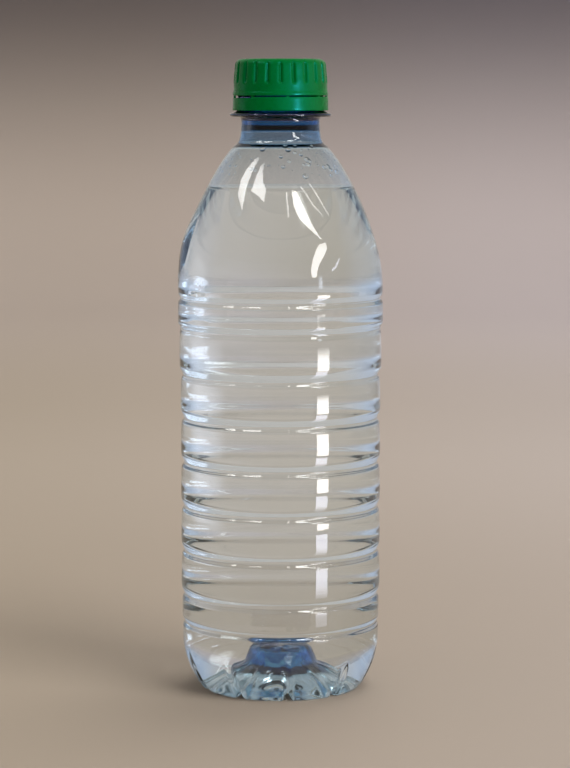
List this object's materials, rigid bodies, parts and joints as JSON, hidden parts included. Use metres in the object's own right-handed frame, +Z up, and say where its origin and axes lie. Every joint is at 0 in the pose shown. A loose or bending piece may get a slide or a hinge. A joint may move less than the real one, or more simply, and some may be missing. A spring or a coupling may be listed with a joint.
{
  "type": "plastic water bottle",
  "caption": "Clear ribbed single-serve plastic bottle, full of water and closed with a ribbed screw cap; one shoulder edge is creased.",
  "frame": {"origin": "on the floor under the middle of the base", "axes": "+Z up along the bottle's axis, -Y towards the viewer, the dented shoulder edge at -X"},
  "size_m": [0.0668, 0.0668, 0.2055],
  "materials": {
    "clear_pet": "clear glossy PET with a faint blue tint, deeper where the wall is thick",
    "water": "clear still water",
    "cap_plastic": "semi-gloss green moulded polyethylene",
    "band_plastic": "semi-gloss green moulded polyethylene"
  },
  "bodies": {
    "bottle_body": {"bottle": "clear_pet", "water": "water"},
    "band_body": {"tamper_band": "band_plastic"},
    "cap_body": {"cap": "cap_plastic"}
  },
  "joints": [
    {"name": "cap_turn", "type": "hinge", "parent": "bottle_body", "child": "band_body", "pos_m": [0, 0, 0.19], "axis": [0, 0, 1], "range_deg": [0, 540]},
    {"name": "cap_lift", "type": "slide", "parent": "band_body", "child": "cap_body", "axis": [0, 0, 1], "range_m": [0, 0.0041]}
  ],
  "couplings": [
    {"joint": "cap_lift", "follows": "cap_turn", "m_per_rad": 0.00042972}
  ]
}
